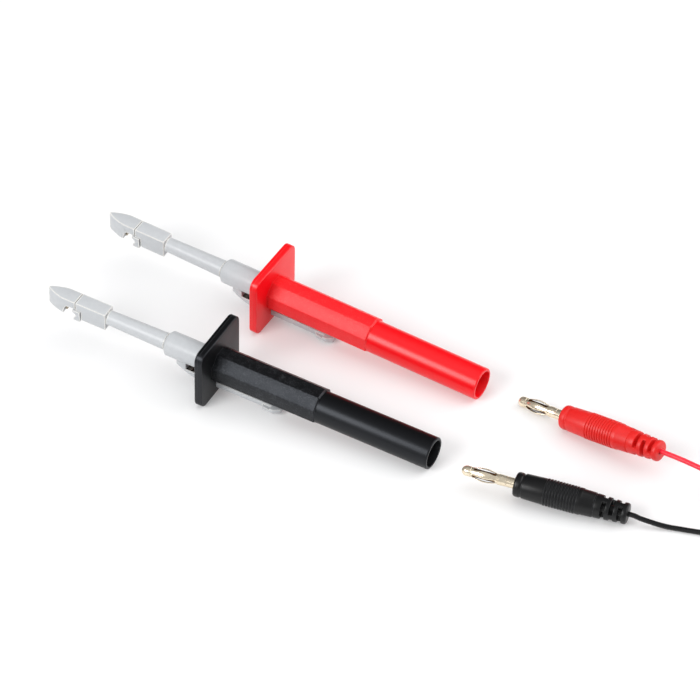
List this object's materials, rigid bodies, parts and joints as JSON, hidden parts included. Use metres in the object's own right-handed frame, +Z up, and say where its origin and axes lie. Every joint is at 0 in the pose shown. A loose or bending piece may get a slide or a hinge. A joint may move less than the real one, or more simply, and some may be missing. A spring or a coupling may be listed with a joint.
{
  "type": "hook-clip test probe set",
  "caption": "Insulated test probes with sliding spring-loaded hook noses, finger flanges and shrouded sockets, and thin coiled leads that end in sprung lantern plugs.",
  "frame": {"origin": "centre of the set on the surface it lies on, measured over both probes and both near plugs", "axes": "+X from the black probe's hook towards its socket, the leads lying beyond it; +Y from the black probe to the red one; +Z up"},
  "size_m": [0.3636, 0.073, 0.0255],
  "materials": {
    "black_shell": "satin",
    "red_shell": "satin",
    "grey_nose": "fine satin",
    "black_boot": "soft matte",
    "red_boot": "soft matte",
    "black_cord": "satin",
    "red_cord": "satin",
    "tie": "matte",
    "plated_brass": "polished, nickel plated",
    "bare_brass": "satin",
    "spring_steel": "drawn"
  },
  "bodies": {
    "set": {"black_handle": "black_shell", "black_hook_beak": "grey_nose", "black_hook_contact": "bare_brass", "black_contact_rod": "spring_steel", "black_return_spring": "spring_steel", "black_socket_contact": "plated_brass", "black_lock_nut": "bare_brass", "red_handle": "red_shell", "red_hook_beak": "grey_nose", "red_hook_contact": "bare_brass", "red_contact_rod": "spring_steel", "red_return_spring": "spring_steel", "red_socket_contact": "plated_brass", "red_lock_nut": "bare_brass", "black_plug_pin": "plated_brass", "black_lantern_cage": "plated_brass", "black_plug_boot": "black_boot", "black_plug_wire": "black_cord", "red_plug_pin": "plated_brass", "red_lantern_cage": "plated_brass", "red_plug_boot": "red_boot", "red_plug_wire": "red_cord", "black_cord": "black_cord", "black_cord_coil": "black_cord", "black_coil_tie": "tie", "black_cord_tail": "black_cord", "red_cord": "red_cord", "red_cord_coil": "red_cord", "red_coil_tie": "tie", "red_cord_tail": "red_cord", "black_far_pin": "plated_brass", "black_far_cage": "plated_brass", "black_far_boot": "black_boot", "black_far_wire": "black_cord", "red_far_pin": "plated_brass", "red_far_cage": "plated_brass", "red_far_boot": "red_boot", "red_far_wire": "red_cord"},
    "black_sleeve": {"black_slide_sleeve": "grey_nose", "black_nose_barrel": "grey_nose", "black_clamp_jaw": "grey_nose", "black_spring_washer": "spring_steel"},
    "red_sleeve": {"red_slide_sleeve": "grey_nose", "red_nose_barrel": "grey_nose", "red_clamp_jaw": "grey_nose", "red_spring_washer": "spring_steel"}
  },
  "joints": [
    {"name": "black_sleeve_slide", "type": "slide", "parent": "set", "child": "black_sleeve", "axis": [0.9977, 0, -0.0673], "range_m": [0, 0.0095], "stiffness_N_per_m": 120, "springref_m": -0.008, "deforming": ["black_return_spring"]},
    {"name": "red_sleeve_slide", "type": "slide", "parent": "set", "child": "red_sleeve", "axis": [0.9971, -0.0348, -0.0673], "range_m": [0, 0.0095], "stiffness_N_per_m": 120, "springref_m": -0.008, "deforming": ["red_return_spring"]}
  ]
}
